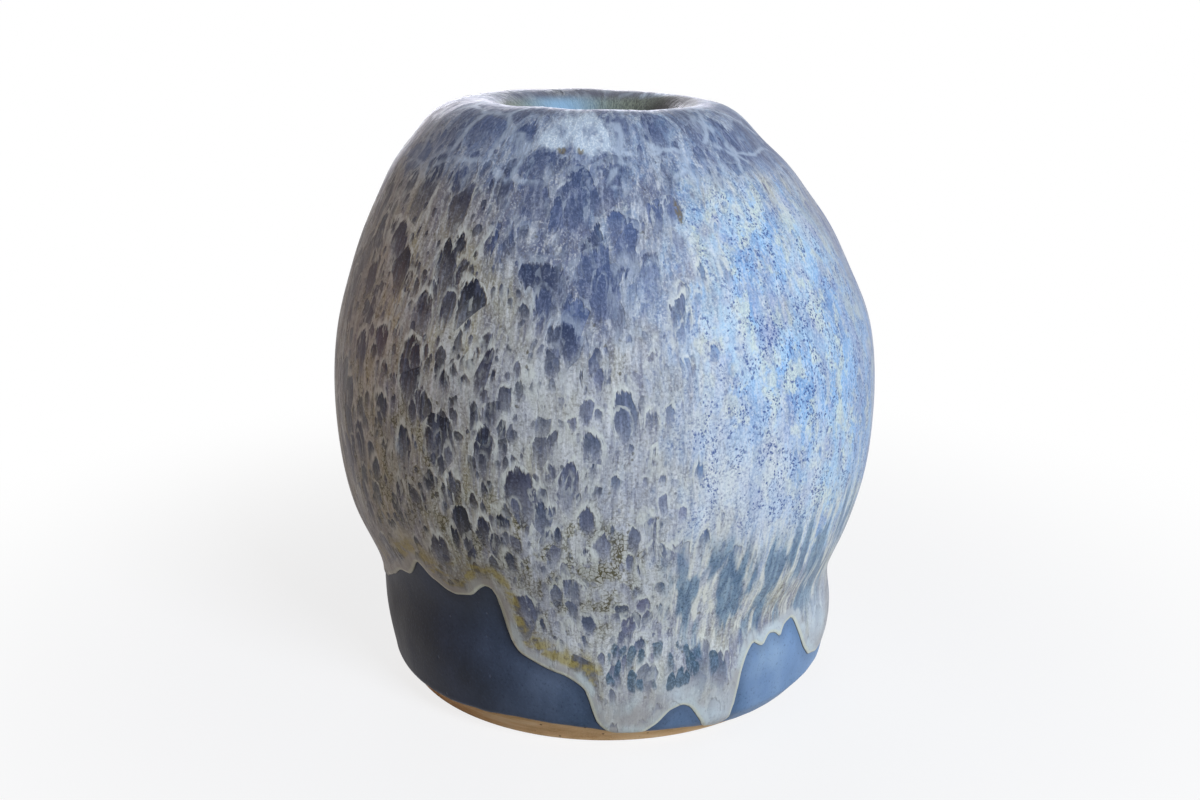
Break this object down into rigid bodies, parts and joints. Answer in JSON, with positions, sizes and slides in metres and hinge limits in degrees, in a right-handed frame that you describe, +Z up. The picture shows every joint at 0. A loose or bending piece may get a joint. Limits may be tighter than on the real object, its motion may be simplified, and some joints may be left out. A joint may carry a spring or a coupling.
{
  "type": "ceramic bud vase",
  "caption": "Small round-shouldered stoneware bud vase with a narrow mouth, a bevelled foot and a runny glaze over a plain satin one.",
  "frame": {"origin": "middle of the vase's box, on the surface it stands on", "axes": "+Z up through the mouth, front (the side with the two lowest glaze runs) towards -Y, +X to the right seen from the front"},
  "size_m": [0.0894, 0.0894, 0.095],
  "materials": {
    "clay": "bare fired buff stoneware, dry and matte",
    "base_glaze": "satin slate blue glaze with faint specks",
    "overglaze": "runny cream and blue cellular glaze, soft gloss, thick at its runs",
    "liner": "glossy grey-green liner glaze"
  },
  "bodies": {
    "root": {"clay_body": "clay", "base_glaze": "base_glaze", "runny_overglaze": "overglaze", "liner_glaze": "liner"}
  },
  "joints": []
}
